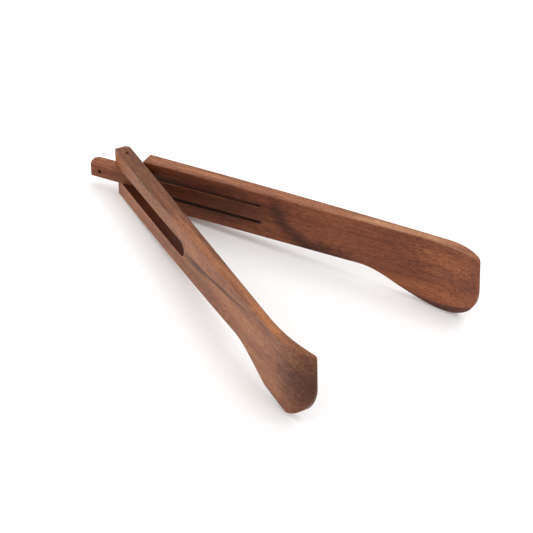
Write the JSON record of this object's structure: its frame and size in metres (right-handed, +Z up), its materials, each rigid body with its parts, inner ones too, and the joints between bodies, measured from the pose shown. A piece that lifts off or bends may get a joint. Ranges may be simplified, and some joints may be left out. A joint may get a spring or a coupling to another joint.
{
  "type": "spring loaded kitchen tongs",
  "caption": "Wooden kitchen tongs with flared scoop heads, a forked arm hinged on a steel pin and a sprung wooden tongue that pushes the arms open.",
  "frame": {"origin": "on the table under the centre of the open tongs' bounding box", "axes": "+Z up from the table, +X from the hinge towards the heads along the line midway between the two arms, +Y towards the sprung arm's side"},
  "size_m": [0.294, 0.1618, 0.058],
  "materials": {
    "arm_wood": "oiled satin, reddish brown with darker streaks",
    "tongue_wood": "oiled satin, reddish brown",
    "pin_steel": "plain ground steel"
  },
  "bodies": {
    "spring_arm": {"spring_arm": "arm_wood"},
    "spring_tongue": {"spring_tongue": "tongue_wood"},
    "fork_arm": {"fork_arm": "arm_wood", "hinge_pin": "pin_steel"}
  },
  "joints": [
    {"name": "tongue_flex", "type": "hinge", "parent": "spring_arm", "child": "spring_tongue", "pos_m": [-0.03052, 0.0247, 0.0258], "axis": [-0.0839, 0, 0.9965], "range_deg": [0, 6.03]},
    {"name": "arm_pivot", "type": "hinge", "parent": "spring_tongue", "child": "fork_arm", "pos_m": [-0.11951, -0.00019, 0.01811], "axis": [-0.0839, 0, 0.9965], "range_deg": [0, 27.4], "stiffness_Nm_per_rad": 2.5}
  ],
  "couplings": [
    {"joint": "tongue_flex", "follows": "arm_pivot", "ratio": 0.22}
  ]
}
